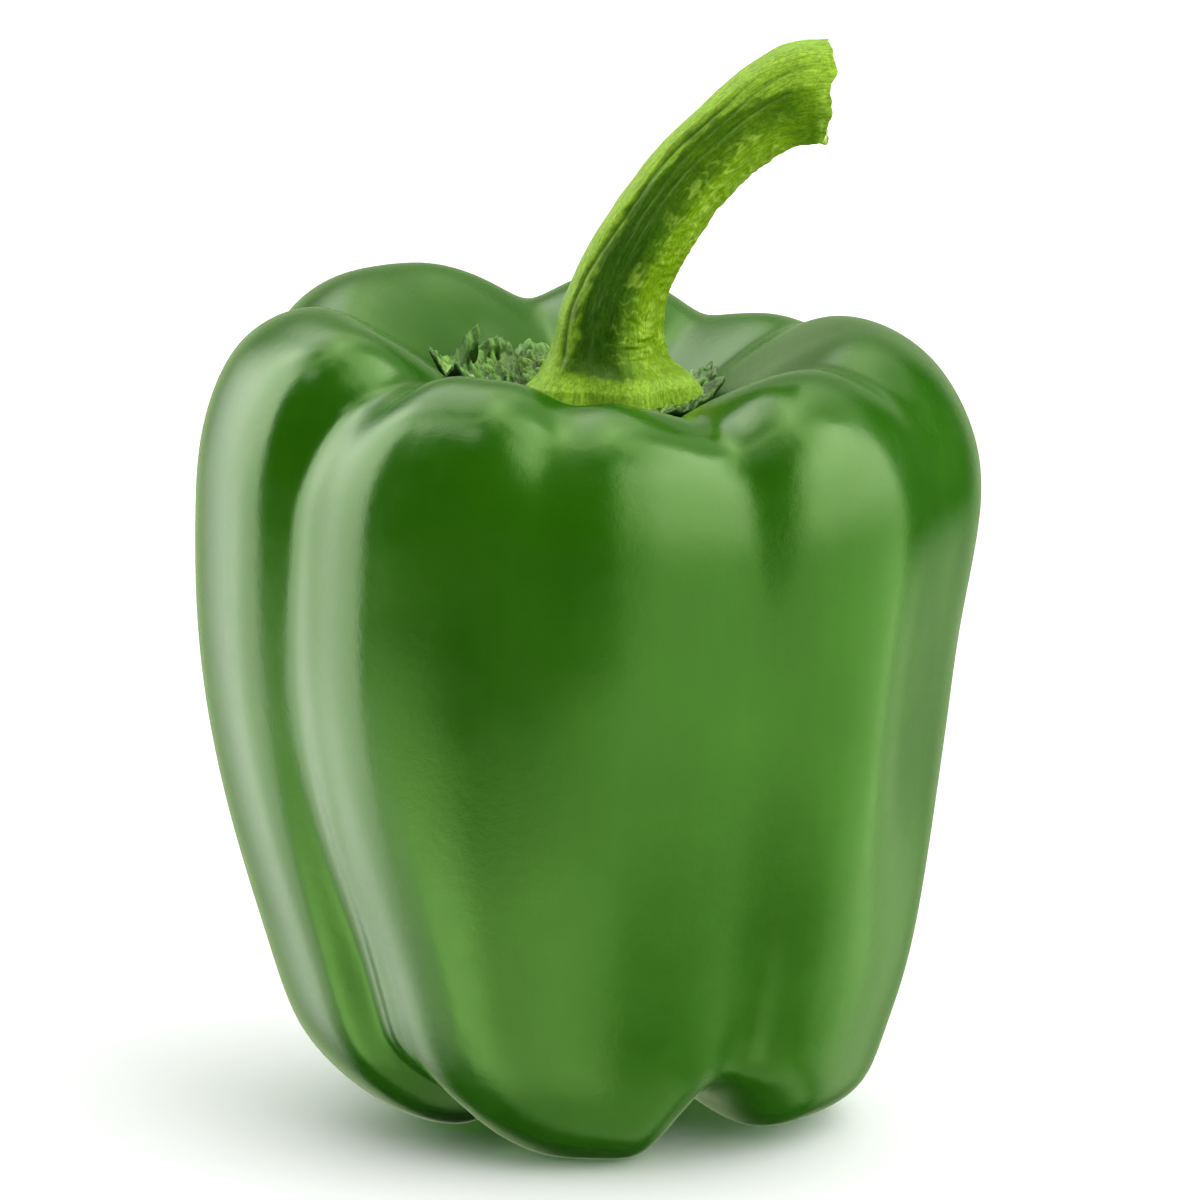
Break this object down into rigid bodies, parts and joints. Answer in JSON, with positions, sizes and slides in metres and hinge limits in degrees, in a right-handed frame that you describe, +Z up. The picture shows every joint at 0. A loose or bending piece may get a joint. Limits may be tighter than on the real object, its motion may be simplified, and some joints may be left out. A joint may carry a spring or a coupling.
{
  "type": "bell pepper",
  "caption": "Upright blocky green bell pepper with deep lobes, a calyx in its stem hollow and a long bent stem with a cut end.",
  "frame": {"origin": "on the surface that the pepper stands on, under the middle of its box", "axes": "+Z up along the pepper's axis, +X the way the stem bends, -Y the side that the picture shows"},
  "size_m": [0.0852, 0.0816, 0.118],
  "materials": {
    "fruit": "waxy deep green skin with broad soft highlights",
    "calyx": "rough crinkled dark green with paler ridges",
    "stem": "satin yellow-green with darker grooves along it"
  },
  "bodies": {
    "root": {"fruit": "fruit", "calyx": "calyx", "stem": "stem"}
  },
  "joints": []
}
